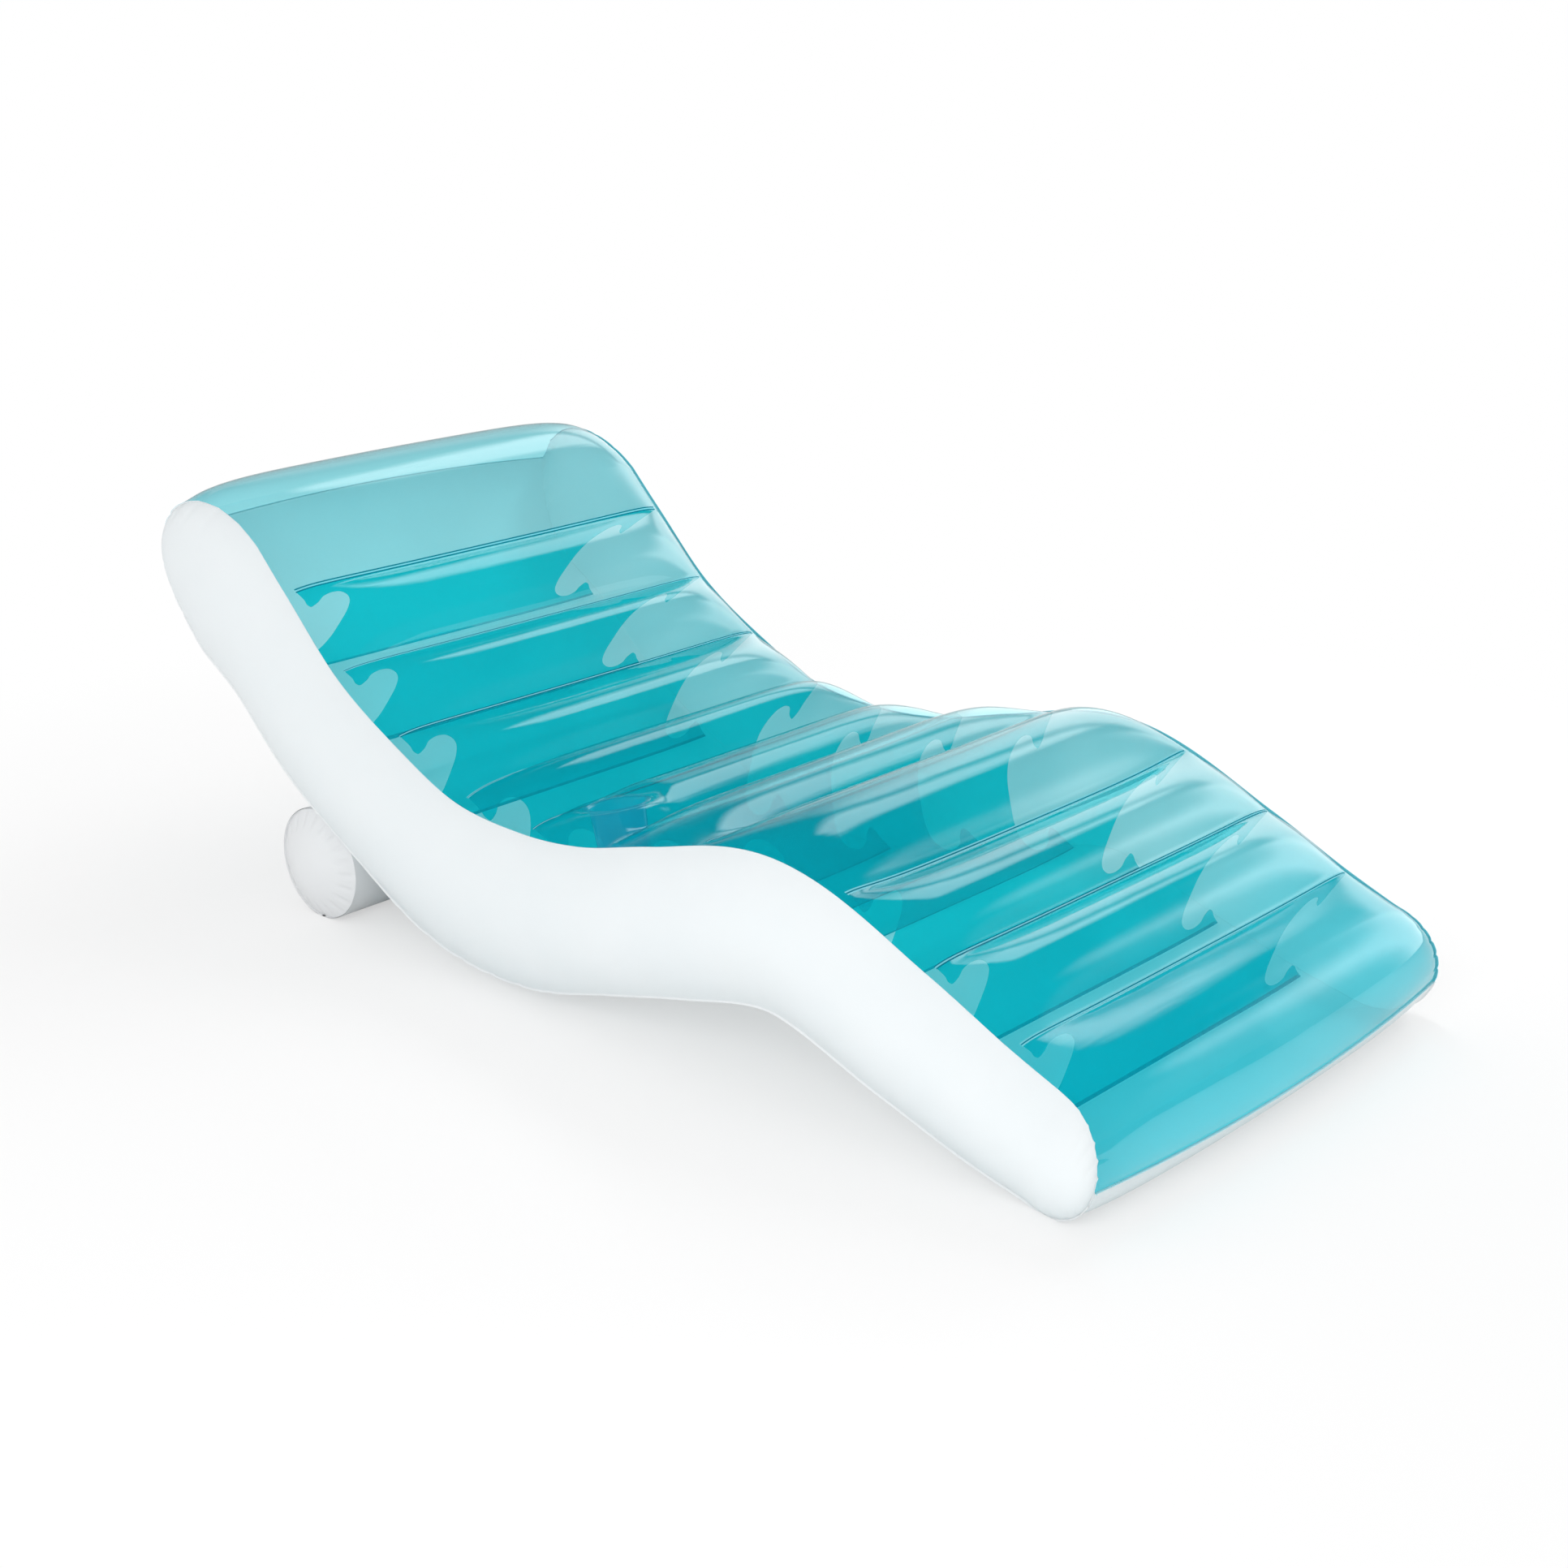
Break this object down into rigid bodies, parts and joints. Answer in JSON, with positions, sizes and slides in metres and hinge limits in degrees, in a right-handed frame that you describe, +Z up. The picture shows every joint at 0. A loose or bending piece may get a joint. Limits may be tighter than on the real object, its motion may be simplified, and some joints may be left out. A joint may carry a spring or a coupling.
{
  "type": "inflatable floating mat",
  "caption": "S-curved inflatable lounge mat with clear ribbed top, white sides, recessed cup holder, bolster roll under the backrest and plug air valves.",
  "frame": {"origin": "floor level, below the middle of the mat's length and width", "axes": "+X from the head to the foot, +Z up, the user's right hand side at -Y"},
  "size_m": [1.9278, 0.9204, 0.6882],
  "materials": {
    "clear_teal_vinyl": "clear tinted gloss vinyl film",
    "white_vinyl": "satin white vinyl film",
    "clear_blue_vinyl": "clear tinted gloss vinyl, vacuum formed",
    "clear_valve_vinyl": "clear soft moulded vinyl"
  },
  "bodies": {
    "mat": {"top_sheet": "clear_teal_vinyl", "bottom_sheet": "white_vinyl", "side_panel_right": "white_vinyl", "side_panel_left": "white_vinyl", "baffle_01": "clear_teal_vinyl", "baffle_02": "clear_teal_vinyl", "baffle_03": "clear_teal_vinyl", "baffle_04": "clear_teal_vinyl", "baffle_05": "clear_teal_vinyl", "baffle_06": "clear_teal_vinyl", "baffle_07": "clear_teal_vinyl", "baffle_08": "clear_teal_vinyl", "baffle_09": "clear_teal_vinyl", "baffle_10": "clear_teal_vinyl", "cup_holder": "clear_blue_vinyl", "bolster_sleeve": "white_vinyl", "bolster_end_right": "white_vinyl", "bolster_end_left": "white_vinyl", "main_valve_seat": "clear_valve_vinyl", "bolster_valve_seat": "clear_valve_vinyl"},
    "main_valve_stem": {"main_valve_stem": "clear_valve_vinyl"},
    "main_valve_plug": {"main_valve_plug": "clear_valve_vinyl"},
    "bolster_valve_stem": {"bolster_valve_stem": "clear_valve_vinyl"},
    "bolster_valve_plug": {"bolster_valve_plug": "clear_valve_vinyl"}
  },
  "joints": [
    {"name": "main_valve_stem_slide", "type": "slide", "parent": "mat", "child": "main_valve_stem", "axis": [-0.7102, 0, -0.704], "range_m": [0, 0.01]},
    {"name": "main_valve_plug_hinge", "type": "hinge", "parent": "main_valve_stem", "child": "main_valve_plug", "pos_m": [-0.76284, -0.30482, 0.3073], "axis": [0, 1, 0], "range_deg": [0, 150]},
    {"name": "bolster_valve_stem_slide", "type": "slide", "parent": "mat", "child": "bolster_valve_stem", "axis": [0, 1, 0], "range_m": [0, 0.01]},
    {"name": "bolster_valve_plug_hinge", "type": "hinge", "parent": "bolster_valve_stem", "child": "bolster_valve_plug", "pos_m": [-0.61235, 0.43579, 0.10755], "axis": [1, 0, 0], "range_deg": [0, 150]}
  ]
}
